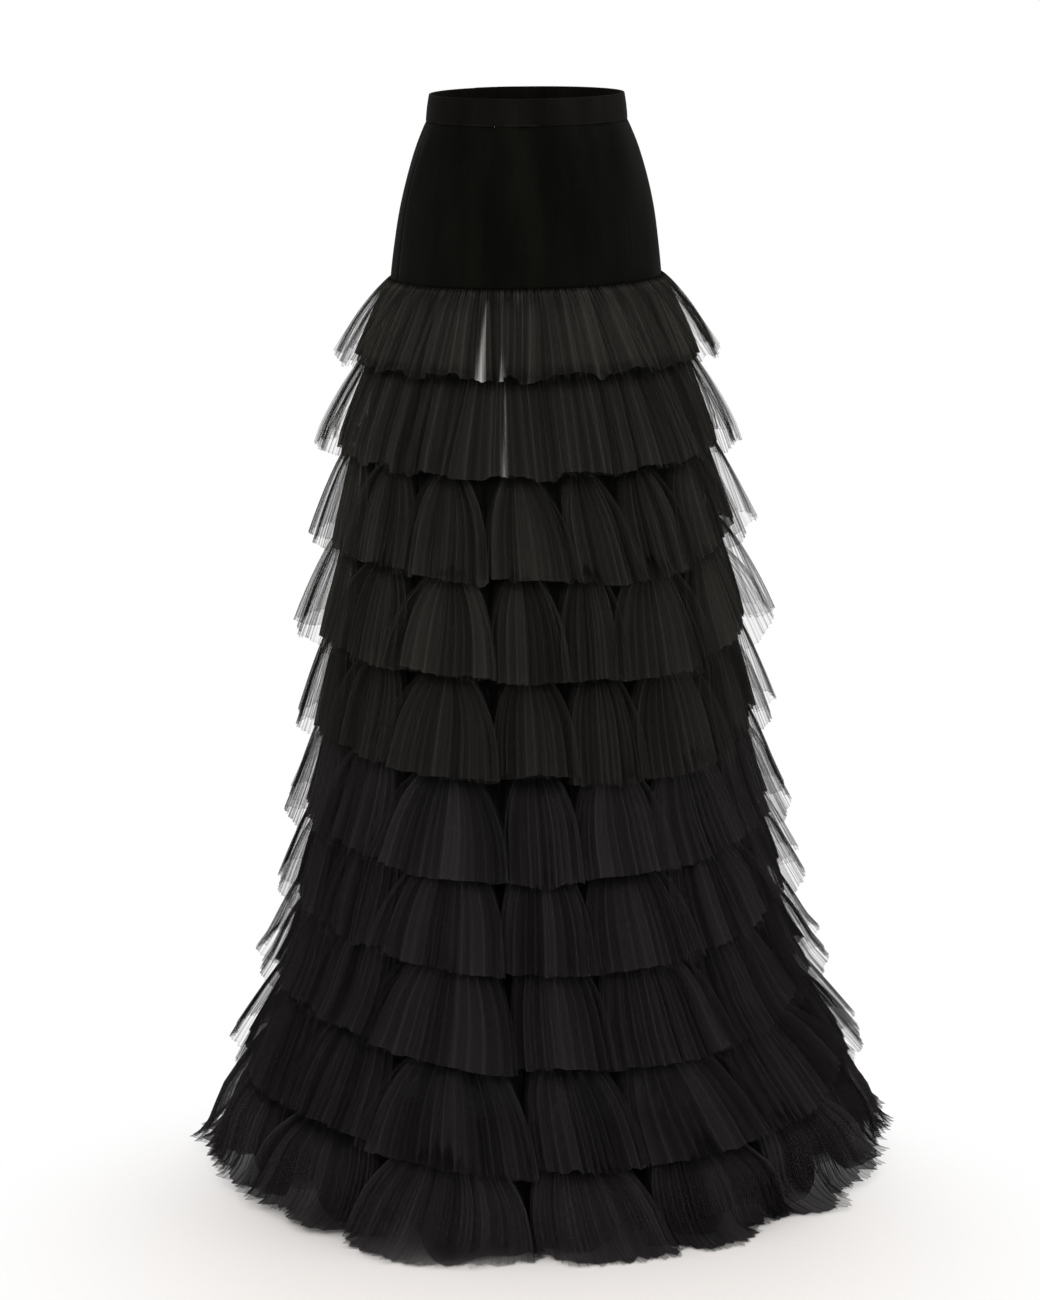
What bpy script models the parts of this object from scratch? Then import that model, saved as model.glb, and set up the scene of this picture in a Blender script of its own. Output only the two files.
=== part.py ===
"""Maxi skirt: ten pleated tulle ruffles on a plain tulle skirt, below a fitted velvet hip yoke.

The pieces stand as they do when the skirt is worn. The origin is the middle of the waist,
+Z is up and the centre front faces -Y. Lengths are in metres and angles in degrees.
An angle goes round the skirt from the centre front, 0, towards +X, 90.
"""

import math

import bmesh
import bpy

# Wall thickness of each cloth, and the clearance left between neighbouring pieces
VELVET_WALL = 0.0016
BAND_WALL = 0.0024
TULLE_WALL = 0.0013
SEAM_GAP = 0.0003
RUFFLE_GAP = 0.0006
# Points closer than this are one point
WELD = 0.00001

# Waistband
BAND_TOP = 0.0140
BAND_BOTTOM = -0.0138
BAND_TOP_WIDTH = 0.1045
BAND_BOTTOM_WIDTH = 0.1080
BAND_DEPTH_RATIO = 0.775
BAND_LAP = 0.025
BAND_LAP_RISE = 0.016
BAND_COLUMNS = 60

# Hip yoke, a row for each section down the body
YOKE_BOTTOM = -0.1757
YOKE_SEAM_GAP = 0.0007
YOKE_FRONT_COLUMNS = 20
YOKE_BACK_COLUMNS = 10
YOKE_SECTIONS = (
    # height, half width, half depth
    (BAND_BOTTOM - SEAM_GAP, 0.1076, 0.0835),
    (-0.0400, 0.1185, 0.0925),
    (-0.0700, 0.1280, 0.1005),
    (-0.1050, 0.1362, 0.1078),
    (-0.1400, 0.1415, 0.1126),
    (YOKE_BOTTOM, 0.1458, 0.1166),
)

# Plain tulle skirt under the ruffles, a row for each section down to the floor
FLOOR = -1.1350
UNDER_YOKE_EDGE = 0.0011
FOUNDATION_SECTIONS = (
    # height, half width, half depth, flute depth, sway, rise at the sides
    (YOKE_BOTTOM - SEAM_GAP, 0.1458 - UNDER_YOKE_EDGE, 0.1166 - UNDER_YOKE_EDGE, 0.0, 0.0, 0.0),
    (-0.3380, 0.1790, 0.1510, 0.004, 0.002, 0.003),
    (-0.5330, 0.2030, 0.1800, 0.012, 0.006, 0.008),
    (-0.7270, 0.2220, 0.2040, 0.020, 0.010, 0.014),
    (-0.9170, 0.2580, 0.2440, 0.029, 0.015, 0.018),
    (FLOOR, 0.3500, 0.3430, 0.042, 0.023, 0.000),
)
SWAY_ANGLE = 67.0
LOW_SIDE_ANGLE = -20.0

# Flutes of the skirt: where each crest stands at the hip and at the hem, how far it reaches,
# and how far forward the two side edges of its ruffles stand
FLUTES = (
    # crest at hip, crest at hem, reach, edge before the crest, edge after it
    (-94.0, -94.0, 0.96, 0.86, 0.74),
    (-66.0, -68.0, 1.00, 0.88, 0.72),
    (-48.0, -39.0, 1.06, 0.86, 0.86),
    (-25.0, -16.0, 0.94, 0.70, 0.84),
    (-9.0, 7.0, 1.04, 0.72, 0.86),
    (8.0, 36.0, 0.98, 0.70, 0.86),
    (37.0, 62.0, 1.02, 0.72, 0.84),
    (66.0, 87.0, 1.06, 0.74, 0.86),
    (94.0, 113.0, 0.95, 0.72, 0.76),
    (123.0, 139.0, 1.03, 0.86, 0.84),
    (151.0, 164.0, 0.96, 0.72, 0.70),
    (180.0, 190.0, 1.05, 0.86, 0.84),
    (209.0, 215.0, 0.97, 0.72, 0.76),
    (237.0, 241.0, 1.02, 0.86, 0.72),
)
# Columns of one flute, from the bottom of one valley to just before the next. The plain skirt
# has narrow crests; a ruffle starts on them and spreads at its hem into a fan that fills the flute
FLUTE_COLUMNS = (
    # share across and height on the plain skirt, share across and height at a ruffle's hem
    (0.00, 0.00, 0.00, 0.00),
    (0.20, 0.26, 0.06, 1.00),
    (0.36, 0.80, 0.25, 0.98),
    (0.50, 1.00, 0.50, 1.00),
    (0.64, 0.80, 0.75, 0.98),
    (0.80, 0.26, 0.94, 1.00),
)
EDGE_BEFORE_COLUMN = 1
EDGE_AFTER_COLUMN = 5

# Ruffles, a row for each; the first two are even rings of small waves, the rest follow the flutes
SMALL_WAVES = 28
SMALL_WAVE_SHAPE = (1.0, 0.5, 0.0, 0.5)
EVEN_RUFFLES = 2
RUFFLE_BELLY = 0.004
TOP_RUFFLE_TUCK = 0.0012
RUFFLES = (
    # stitching height, hem height, flare at a crest, flare in a valley, lift of a crest's hem,
    # rise of the hem at the sides
    (YOKE_BOTTOM - TOP_RUFFLE_TUCK, -0.2520, 0.044, 0.037, 0.002, 0.001),
    (-0.2400, -0.3550, 0.045, 0.036, 0.003, 0.003),
    (-0.3380, -0.4570, 0.042, 0.026, 0.005, 0.004),
    (-0.4360, -0.5550, 0.053, 0.025, 0.006, 0.008),
    (-0.5330, -0.6570, 0.043, 0.020, 0.006, 0.009),
    (-0.6310, -0.7560, 0.044, 0.018, 0.006, 0.011),
    (-0.7250, -0.8440, 0.041, 0.017, 0.007, 0.018),
    (-0.8180, -0.9400, 0.040, 0.019, 0.008, 0.020),
    (-0.9140, -1.0350, 0.034, 0.024, 0.009, 0.019),
    (-1.0060, -1.1230, 0.035, 0.014, 0.006, 0.010),
)


def material(name, colour, roughness):
    """Principled cloth finish of one colour."""
    finish = bpy.data.materials.new(name)
    finish.use_nodes = True
    shader = finish.node_tree.nodes["Principled BSDF"]
    shader.inputs["Base Color"].default_value = (*colour, 1.0)
    shader.inputs["Roughness"].default_value = roughness
    shader.inputs["Metallic"].default_value = 0.0
    return finish


def oval_point(angle, half_width, half_depth, out=0.0, sway=0.0):
    """Point of a body section, moved out square to the section and swayed with the whole skirt."""
    turn = math.radians(angle)
    east = math.sin(turn) / half_width
    north = -math.cos(turn) / half_depth
    length = math.hypot(east, north)
    lean = math.radians(SWAY_ANGLE)
    return (
        half_width * math.sin(turn) + out * east / length + sway * math.sin(lean),
        -half_depth * math.cos(turn) + out * north / length - sway * math.cos(lean),
    )


def mix(first, second, share):
    """Value a share of the way from the first to the second."""
    return first + (second - first) * share


def share_down(height, top, bottom):
    """Share of the way from the top down to the bottom."""
    return (top - height) / (top - bottom)


def section_at(rows, height):
    """Values of a table of sections at any height between its rows."""
    for upper, lower in zip(rows, rows[1:]):
        if height >= lower[0] - 1e-9:
            share = share_down(height, upper[0], lower[0])
            return [mix(a, b, share) for a, b in zip(upper[1:], lower[1:])]
    return list(rows[-1][1:])


def flute_columns(height, spread):
    """Angle, height above the valley and reach of every column of the flutes at a height.

    The spread runs from 0 on the plain skirt to 1 at the hem of a ruffle.
    """
    share = share_down(height, FOUNDATION_SECTIONS[0][0], FLOOR)
    crests = [mix(flute[0], flute[1], share) for flute in FLUTES]
    columns = []
    for index, (_, _, reach, edge_before, edge_after) in enumerate(FLUTES):
        before = crests[index - 1] - (360.0 if index == 0 else 0.0)
        after = crests[(index + 1) % len(FLUTES)] + (360.0 if index == len(FLUTES) - 1 else 0.0)
        start = (before + crests[index]) / 2.0
        end = (crests[index] + after) / 2.0
        edges = {EDGE_BEFORE_COLUMN: edge_before, EDGE_AFTER_COLUMN: edge_after}
        for column, (across, rise, hem_across, hem_rise) in enumerate(FLUTE_COLUMNS):
            hem_rise *= edges.get(column, 1.0)
            angle = mix(start, end, mix(across, hem_across, spread))
            columns.append((angle, mix(rise, hem_rise, spread), reach))
    return columns


def hang(angle, rise):
    """How far a ring is lifted at an angle: it hangs low at front and back, high at the sides."""
    return -rise * math.cos(math.radians(2.0 * (angle - LOW_SIDE_ANGLE)))


def plain_ring(height):
    """Ring on the plain skirt's outer face."""
    half_width, half_depth, depth, sway, side_rise = section_at(FOUNDATION_SECTIONS, height)
    ring = []
    for angle, rise, _ in flute_columns(height, 0.0):
        x, y = oval_point(angle, half_width, half_depth, -depth * (1.0 - rise), sway)
        ring.append((x, y, height + hang(angle, side_rise)))
    return ring


def ruffle_columns(number, height, drop):
    """Angle, height above the valley, reach and flute depth of a ruffle's columns."""
    if number < EVEN_RUFFLES:
        count = SMALL_WAVES * len(SMALL_WAVE_SHAPE)
        return [
            (360.0 * index / count, SMALL_WAVE_SHAPE[index % len(SMALL_WAVE_SHAPE)], 1.0, 0.0)
            for index in range(count)
        ]
    depth = section_at(FOUNDATION_SECTIONS, height)[2]
    return [(*column, depth) for column in flute_columns(height, drop)]


def ruffle_rings(number):
    """Three rings of one ruffle's inner face: its stitching, its belly and its hem."""
    stitching, hem, crest_flare, valley_flare, lift, hem_rise = RUFFLES[number]
    stitching_rise = section_at(FOUNDATION_SECTIONS, stitching)[-1]
    rings = []
    for drop, belly in ((0.0, 0.0), (0.5, RUFFLE_BELLY), (1.0, 0.0)):
        height = mix(stitching, hem, drop)
        half_width, half_depth, _, sway, _ = section_at(FOUNDATION_SECTIONS, height)
        side_rise = mix(stitching_rise, hem_rise, drop)
        ring = []
        for angle, rise, reach, depth in ruffle_columns(number, height, drop):
            flare = belly + mix(valley_flare, crest_flare * reach, rise) * drop
            out = RUFFLE_GAP + flare - depth * (1.0 - rise)
            x, y = oval_point(angle, half_width, half_depth, out, sway)
            ring.append((x, y, height + lift * rise * drop + hang(angle, side_rise)))
        rings.append(ring)
    return rings


def loft(name, rings, closed, wall, outward, finish):
    """Cloth wall through rings from top to bottom, thickened outwards or inwards."""
    mesh = bmesh.new()
    rows = [ring + ring[:1] if closed else ring for ring in reversed(rings)]
    columns = len(rows[0])
    bmesh.ops.create_grid(mesh, x_segments=columns - 1, y_segments=len(rows) - 1, size=1.0)
    mesh.verts.ensure_lookup_table()
    for row, points in enumerate(rows):
        for column, point in enumerate(points):
            mesh.verts[row * columns + column].co = point
    if closed:
        bmesh.ops.remove_doubles(mesh, verts=mesh.verts[:], dist=WELD)
    # Both faces of the wall then fold along the same diagonals
    bmesh.ops.triangulate(mesh, faces=mesh.faces[:], quad_method="SHORT_EDGE")
    data = bpy.data.meshes.new(name)
    mesh.to_mesh(data)
    mesh.free()
    data.materials.append(finish)
    piece = bpy.data.objects.new(name, data)
    bpy.context.collection.objects.link(piece)
    thicken = piece.modifiers.new("wall", "SOLIDIFY")
    thicken.thickness = wall
    thicken.offset = 1.0 if outward else -1.0
    thicken.use_even_offset = True


def waistband(finish):
    """Band round the waist: a strip that starts at the centre back and laps over its own start."""
    half_width = (BAND_TOP_WIDTH + BAND_BOTTOM_WIDTH) / 2.0
    lap = math.degrees(BAND_LAP / half_width)
    rise = math.degrees(BAND_LAP_RISE / half_width)
    sweep = 360.0 + lap
    risen = 360.0 - sweep / BAND_COLUMNS
    rings = []
    for height, width in ((BAND_TOP, BAND_TOP_WIDTH), (BAND_BOTTOM, BAND_BOTTOM_WIDTH)):
        ring = []
        for column in range(BAND_COLUMNS + 1):
            turned = sweep * column / BAND_COLUMNS
            climbed = min(max((turned - (risen - rise)) / rise, 0.0), 1.0)
            out = climbed * (BAND_WALL + SEAM_GAP)
            x, y = oval_point(180.0 + turned, width, width * BAND_DEPTH_RATIO, out)
            ring.append((x, y, height))
        rings.append(ring)
    loft("waistband", rings, False, BAND_WALL, False, finish)


def yoke_panel(name, start, end, columns, finish):
    """Yoke panel between two seams, each given as the angle where its edge lies."""
    rings = []
    for height, half_width, half_depth in YOKE_SECTIONS:
        inset = math.degrees(YOKE_SEAM_GAP / 2.0 / half_depth)
        ring = []
        for column in range(columns + 1):
            angle = mix(start + inset, end - inset, column / columns)
            x, y = oval_point(angle, half_width, half_depth)
            ring.append((x, y, height))
        rings.append(ring)
    loft(name, rings, False, VELVET_WALL, False, finish)


def skirt():
    """Every piece of the skirt, from the waist down."""
    velvet = material("black velvet", (0.006, 0.006, 0.0055), 0.85)
    band_velvet = material("black velvet band", (0.008, 0.0075, 0.007), 0.8)
    tulle = material("black tulle", (0.012, 0.0115, 0.012), 0.9)
    waistband(band_velvet)
    yoke_panel("yoke_front", -90.0, 90.0, YOKE_FRONT_COLUMNS, velvet)
    yoke_panel("yoke_back_left", 90.0, 180.0, YOKE_BACK_COLUMNS, velvet)
    yoke_panel("yoke_back_right", 180.0, 270.0, YOKE_BACK_COLUMNS, velvet)
    rows = [FOUNDATION_SECTIONS[0][0]] + [row[0] for row in RUFFLES[EVEN_RUFFLES:]] + [FLOOR]
    loft("foundation_skirt", [plain_ring(row) for row in rows], True, TULLE_WALL, False, tulle)
    for number in range(len(RUFFLES)):
        loft(f"ruffle_{number + 1:02d}", ruffle_rings(number), True, TULLE_WALL, True, tulle)


for old in list(bpy.data.objects):
    bpy.data.objects.remove(old, do_unlink=True)
skirt()
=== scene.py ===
import math

import bmesh
import bpy
import numpy as np
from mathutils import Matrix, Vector


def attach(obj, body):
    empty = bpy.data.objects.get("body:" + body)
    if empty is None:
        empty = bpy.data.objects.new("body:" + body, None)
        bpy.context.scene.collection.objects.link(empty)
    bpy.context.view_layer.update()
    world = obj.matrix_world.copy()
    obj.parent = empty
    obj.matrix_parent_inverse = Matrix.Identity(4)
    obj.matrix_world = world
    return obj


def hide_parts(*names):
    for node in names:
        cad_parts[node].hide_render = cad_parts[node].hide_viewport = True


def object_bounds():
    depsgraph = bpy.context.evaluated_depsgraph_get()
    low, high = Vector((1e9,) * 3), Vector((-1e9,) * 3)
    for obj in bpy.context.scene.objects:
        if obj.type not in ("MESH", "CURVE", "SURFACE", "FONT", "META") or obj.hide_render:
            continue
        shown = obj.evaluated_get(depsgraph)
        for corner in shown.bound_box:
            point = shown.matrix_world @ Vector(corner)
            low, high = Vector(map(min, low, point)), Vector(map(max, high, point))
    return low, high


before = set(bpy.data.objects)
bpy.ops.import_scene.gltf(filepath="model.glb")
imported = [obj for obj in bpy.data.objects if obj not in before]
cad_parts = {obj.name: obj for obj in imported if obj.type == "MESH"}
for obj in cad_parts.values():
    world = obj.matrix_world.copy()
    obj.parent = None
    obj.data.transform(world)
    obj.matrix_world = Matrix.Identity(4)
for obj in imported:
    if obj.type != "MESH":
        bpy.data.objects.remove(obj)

cad_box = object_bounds()

# Sizes of the cut, the same as the solids have, in metres
VELVET_WALL = 0.0016
BAND_WALL = 0.0024
TULLE_WALL = 0.0013
SEAM_GAP = 0.0003
RUFFLE_GAP = 0.0006
BAND_TOP = 0.0140
BAND_BOTTOM = -0.0138
BAND_TOP_WIDTH = 0.1045
BAND_BOTTOM_WIDTH = 0.1080
BAND_DEPTH_RATIO = 0.775
BAND_LAP = 0.025
BAND_LAP_RISE = 0.016
YOKE_BOTTOM = -0.1757
YOKE_SEAM_GAP = 0.0007
YOKE_SECTIONS = (
    # height, half width, half depth
    (BAND_BOTTOM - SEAM_GAP, 0.1076, 0.0835),
    (-0.0400, 0.1185, 0.0925),
    (-0.0700, 0.1280, 0.1005),
    (-0.1050, 0.1362, 0.1078),
    (-0.1400, 0.1415, 0.1126),
    (YOKE_BOTTOM, 0.1458, 0.1166),
)
FLOOR = -1.1350
UNDER_YOKE_EDGE = 0.0011
FOUNDATION_SECTIONS = (
    # height, half width, half depth, flute depth, sway, rise at the sides
    (YOKE_BOTTOM - SEAM_GAP, 0.1458 - UNDER_YOKE_EDGE, 0.1166 - UNDER_YOKE_EDGE, 0.0, 0.0, 0.0),
    (-0.3380, 0.1790, 0.1510, 0.004, 0.002, 0.003),
    (-0.5330, 0.2030, 0.1800, 0.012, 0.006, 0.008),
    (-0.7270, 0.2220, 0.2040, 0.020, 0.010, 0.014),
    (-0.9170, 0.2580, 0.2440, 0.029, 0.015, 0.018),
    (FLOOR, 0.3500, 0.3430, 0.042, 0.023, 0.000),
)
SWAY_ANGLE = 67.0
LOW_SIDE_ANGLE = -20.0
FLUTES = np.array((
    # crest at hip, crest at hem, reach, edge before the crest, edge after it
    (-94.0, -94.0, 0.96, 0.86, 0.74),
    (-66.0, -68.0, 1.00, 0.88, 0.72),
    (-48.0, -39.0, 1.06, 0.86, 0.86),
    (-25.0, -16.0, 0.94, 0.70, 0.84),
    (-9.0, 7.0, 1.04, 0.72, 0.86),
    (8.0, 36.0, 0.98, 0.70, 0.86),
    (37.0, 62.0, 1.02, 0.72, 0.84),
    (66.0, 87.0, 1.06, 0.74, 0.86),
    (94.0, 113.0, 0.95, 0.72, 0.76),
    (123.0, 139.0, 1.03, 0.86, 0.84),
    (151.0, 164.0, 0.96, 0.72, 0.70),
    (180.0, 190.0, 1.05, 0.86, 0.84),
    (209.0, 215.0, 0.97, 0.72, 0.76),
    (237.0, 241.0, 1.02, 0.86, 0.72),
))
SMALL_WAVES = 28
EVEN_RUFFLES = 2
RUFFLE_BELLY = 0.004
TOP_RUFFLE_TUCK = 0.0003
RUFFLES = (
    # stitching height, hem height, flare at a crest, flare in a valley, lift of a crest's hem,
    # rise of the hem at the sides, pleats
    (YOKE_BOTTOM - TOP_RUFFLE_TUCK, -0.2520, 0.044, 0.037, 0.002, 0.001, 255),
    (-0.2400, -0.3550, 0.045, 0.036, 0.003, 0.003, 280),
    (-0.3380, -0.4570, 0.042, 0.026, 0.005, 0.004, 345),
    (-0.4360, -0.5550, 0.053, 0.025, 0.006, 0.008, 390),
    (-0.5330, -0.6570, 0.043, 0.020, 0.006, 0.009, 425),
    (-0.6310, -0.7560, 0.044, 0.018, 0.006, 0.011, 460),
    (-0.7250, -0.8440, 0.041, 0.017, 0.007, 0.018, 495),
    (-0.8180, -0.9400, 0.040, 0.019, 0.008, 0.020, 550),
    (-0.9140, -1.0350, 0.034, 0.024, 0.009, 0.019, 620),
    (-1.0060, -1.1230, 0.035, 0.014, 0.006, 0.010, 655),
)
# Drops at which a ruffle has a row of points, from its heading above the stitching to its hem
RUFFLE_ROWS = (-0.055, 0.0, 0.04, 0.10, 0.18, 0.27, 0.37, 0.48, 0.60, 0.72, 0.84, 0.94, 1.0)

# Degrees that the hems of some valleys between flutes are turned, by ruffle, from the third down.
# The front ones are the valleys before the third flute and the four that follow it
HEM_TURNS = (
    (-2.0, 0.0, 4.5, 3.0, 0.5),
    (-3.0, 1.0, -1.8, -7.2, -3.8),
    (-7.0, -0.2, -1.2, -5.2, -2.5),
    (-8.5, 1.2, -3.0, -2.5, 3.0),
    (-6.0, -1.2, -2.5, -0.8, 4.0),
    (-6.5, 0.5, -1.5, 3.0, 5.8),
    (-2.5, 3.2, 0.5, 4.0, 10.0),
    (-2.0, 2.0, 2.0, 3.0, 5.0),
)
# Share of its flute that a fan's head fills, and how soon the fan opens, from the third ruffle down
FAN_HEADS = (
    (0.05, 3.7),
    (0.10, 3.6),
    (0.12, 3.6),
    (0.25, 3.5),
    (0.40, 3.4),
    (0.50, 3.4),
    (0.45, 3.2),
    (0.40, 2.6),
)
FAN_START = 0.08
# The two layers of tulle in each ruffle: name of the piece, share of the flare, pleats to one of the
# outer layer's, depth of the folds to one of the outer layer's, and how much longer it is, in the
# first ruffle and then more in each that follows
OUTER_LAYER = ("pleats", 1.0, 1.0, 1.0, 0.0, 0.0)
UNDER_LAYER = ("under_pleats", 0.44, 0.44, 1.4, 0.035, 0.004)
# How much lower than the solid the first ruffle's hem hangs
FIRST_RUFFLE_DROP = 0.007
# How far the last ruffle's hem lies out from the plain skirt's, round the skirt
FLOOR_REACH = (
    (-119.0, 0.032), (-97.0, 0.008), (-84.0, 0.016), (-70.0, -0.010), (-55.0, 0.026), (-45.0, 0.042),
    (-34.0, 0.030), (-23.0, 0.004), (-14.0, 0.018), (-2.0, 0.010), (9.0, -0.012), (28.0, -0.026),
    (40.0, -0.002), (52.0, 0.012), (66.0, 0.016), (84.0, 0.044), (104.0, 0.038), (130.0, 0.020),
    (160.0, 0.034), (190.0, 0.016), (215.0, 0.030), (241.0, 0.032),
)
# Degrees that the last ruffle's first seven fans lean round the skirt where they lie on the floor
FLOOR_SLANTS = (-3.0, -4.0, -2.0, 1.0, 3.0, 5.0, 5.0)
# Places where two pleats part, with painted light standing for light that comes through: ruffle, angle,
# width, start, brightness
PARTED_PLEATS = ((0, -35.0, 1.3, 0.10, 1.0), (0, -28.6, 0.8, 0.70, 0.7), (1, -27.6, 0.6, 0.25, 0.8))
# Place round the skirt where the last ruffle is thin and shows the plain hem: angle and half width
THIN_PLACE = (-34.0, 13.0)
# How far each layer's hem stays out from the plain skirt's flutes
OUTER_CLEARANCE = 0.016
UNDER_CLEARANCE = 0.008
# How much further in than the outer layer the last ruffle's under layer lies on the floor
FLOOR_STEP = 0.020
# A low place in the hems near the wearer's left front and a high one beside it: angle, width, amount
LOW_HEM = (24.0, 28.0, 0.010)
HIGH_HEM = (74.0, 18.0, 0.010)
# Half the depth of a set pleat at the stitching and at the hem
FOLD_AT_STITCHING = 0.0011
FOLD_AT_HEM = 0.0016
# Depth of the waves along a fan's front, and how far a pleat's heading leans out
FAN_WAVE = 0.005
HEADING_LEAN = 0.0012
# Heights above the solids' floor at which the last ruffle's hem comes to lie
HEM_REST = 0.001
HEM_LEAST = 0.0012
# How far the last ruffle's pleats trail out over the floor
TRAIL = 0.012
# Starts of the random draws: the fans' ways, and the pleats' ways in each layer
FAN_SEED = 7100
PLEAT_SEED = 7300
UNDER_PLEAT_SEED = 7350
# Strips that a long piece of cloth is laid out in for baking
EVEN_STRIPS = 5
FLUTED_STRIPS = 7

# A fan's hem, from the bottom of one valley to the next: share of the cloth, share across, height.
# Where two fans meet, the one in front leans over the one behind
PLEAT_KNOTS = (0.0, 0.08, 0.15, 0.30, 0.50, 0.70, 0.85, 0.92, 1.0)
FRONT_TIP = ((0.01, 0.45), (0.07, 0.90))
BEHIND_TIP = ((0.02, 0.25), (0.02, 0.55))


def mix(first, second, share):
    """Value a share of the way from the first to the second."""
    return first + (second - first) * share


def section(rows, height):
    """Values of a table of sections at a height."""
    table = np.array(rows)[::-1]
    return [np.interp(height, table[:, 0], table[:, column]) for column in range(1, table.shape[1])]


def smooth_section(rows, height):
    """Values of a table of sections at a height, on a smooth curve through its rows."""
    table = np.array(rows)[::-1]
    heights = table[:, 0]
    at = min(max(int(np.searchsorted(heights, height)) - 1, 0), len(heights) - 2)
    slopes = np.gradient(table[:, 1:], heights, axis=0)
    span = heights[at + 1] - heights[at]
    share = min(max((height - heights[at]) / span, 0.0), 1.0)
    lower, upper = table[at, 1:], table[at + 1, 1:]
    bend = share * share * (3.0 - 2.0 * share)
    return (
        mix(lower, upper, bend)
        + slopes[at] * span * share * (1.0 - share) ** 2
        - slopes[at + 1] * span * share * share * (1.0 - share)
    )


def oval(angles, half_width, half_depth, out=0.0, sway=0.0):
    """Points of a body section in plan, moved out square to it and swayed with the whole skirt."""
    turn = np.radians(angles)
    east = np.sin(turn) / half_width
    north = -np.cos(turn) / half_depth
    length = np.hypot(east, north)
    lean = math.radians(SWAY_ANGLE)
    across = half_width * np.sin(turn) + out * east / length + sway * math.sin(lean)
    along = -half_depth * np.cos(turn) + out * north / length - sway * math.cos(lean)
    return across, along


def hang(angles, rise):
    """How far a ring is lifted at an angle: low at front and back, high at the sides."""
    return -rise * np.cos(np.radians(2.0 * (angles - LOW_SIDE_ANGLE)))


def flute_bounds(height):
    """Angles of the valleys before and after every flute at a height."""
    share = (FOUNDATION_SECTIONS[0][0] - height) / (FOUNDATION_SECTIONS[0][0] - FLOOR)
    crests = mix(FLUTES[:, 0], FLUTES[:, 1], share)
    before = (np.roll(crests, 1) + crests) / 2.0
    before[0] -= 180.0
    after = np.append(before[1:], before[0] + 360.0)
    return before, after


def cloth(name, points, closed, finish, marks=None):
    """Sheet of cloth through rows of points from its hem up, with its own map of the weave.

    The marks are numbers at its points, which the finish reads.
    """
    rows, columns, _ = points.shape
    mesh = bmesh.new()
    mesh.loops.layers.uv.new("cloth")
    bmesh.ops.create_grid(
        mesh, x_segments=columns - 1, y_segments=rows - 1, size=1.0, calc_uvs=True
    )
    for vertex, point in zip(mesh.verts, points.reshape(-1, 3)):
        vertex.co = point
    for mark, values in (marks or {}).items():
        layer = mesh.verts.layers.float.new(mark)
        for vertex, value in zip(mesh.verts, values.ravel()):
            vertex[layer] = value
    if closed:
        mesh.verts.ensure_lookup_table()
        ends = [mesh.verts[row * columns + side] for row in range(rows) for side in (0, columns - 1)]
        bmesh.ops.remove_doubles(mesh, verts=ends, dist=0.00001)
    data = bpy.data.meshes.new(name)
    mesh.to_mesh(data)
    mesh.free()
    data.materials.append(finish)
    data.shade_smooth()
    piece = bpy.data.objects.new(name, data)
    bpy.context.collection.objects.link(piece)
    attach(piece, "root")
    return piece


def bake_map(piece, columns, strips):
    """Lays the long narrow strip of cloth out in a few strips, one above the other, for baking."""
    data = piece.data
    weave = np.empty(len(data.loops) * 2)
    data.uv_layers["cloth"].data.foreach_get("uv", weave)
    weave = weave.reshape(-1, 4, 2)
    faces = np.rint(weave[:, :, 0].min(axis=1) * columns).astype(int)
    per_strip = math.ceil(columns / strips)
    strip = faces // per_strip
    across = (weave[:, :, 0] * columns - (strip * per_strip)[:, None]) / per_strip
    up = (strip[:, None] + 0.02 + 0.96 * weave[:, :, 1]) / strips
    layer = data.uv_layers.new(name="OFBake")
    layer.data.foreach_set("uv", np.stack((0.002 + 0.996 * across, up), axis=-1).ravel())
    data.uv_layers["cloth"].active = True


def uneven(random, count, least=0.75):
    """Rising shares from 0 to 1 whose steps vary, as set pleats that bunch here and there do."""
    steps = np.clip(random.normal(1.0, 0.16, count), least - 0.25, 1.6)
    bunch = np.convolve(np.tile(random.normal(0.0, 1.0, count), 3), np.ones(9) / 9.0, "same")
    steps *= np.clip(1.0 + 0.35 * bunch[count:2 * count], 0.7, 1.4)
    return np.append(0.0, np.cumsum(steps)) / steps.sum()


def fan_hem():
    """Share across and height of every flute's hem at the knots."""
    before, after = flute_bounds(FLOOR)
    widths = after - before
    across = np.tile(np.array(PLEAT_KNOTS), (len(FLUTES), 1))
    height = np.ones_like(across)
    height[:, (0, -1)] = 0.0
    for index in range(len(FLUTES)):
        following = (index + 1) % len(FLUTES)
        width = (widths[index] + widths[following]) / 2.0
        leads = FLUTES[index, 4] > FLUTES[following, 3]
        here, there = (FRONT_TIP, BEHIND_TIP) if leads else (BEHIND_TIP, FRONT_TIP)
        side = 1.0 if leads else -1.0
        for knot, (lean, rise) in zip((-2, -3), here):
            across[index, knot] = 1.0 + side * lean * width / widths[index]
            height[index, knot] = rise
        for knot, (lean, rise) in zip((1, 2), there):
            across[following, knot] = side * lean * width / widths[following]
            height[following, knot] = rise
    for row in across:
        row[3:6] = mix(row[2], row[6], np.array((0.24, 0.5, 0.76)))
    height[:, (3, 5)] = 0.97
    return across, height


def flute_rise(across):
    """Height of the plain skirt's flute above its valleys, across it."""
    return ((1.0 - np.cos(2.0 * math.pi * across)) / 2.0) ** 1.3


def plain_rise(angles, height):
    """Height of the plain skirt's flutes above their valleys, at angles round it."""
    before, after = flute_bounds(height)
    angles = (angles - before[0]) % 360.0 + before[0]
    flute = np.clip(np.searchsorted(before, angles, side="right") - 1, 0, len(FLUTES) - 1)
    return flute_rise((angles - before[flute]) / (after - before)[flute])


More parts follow.
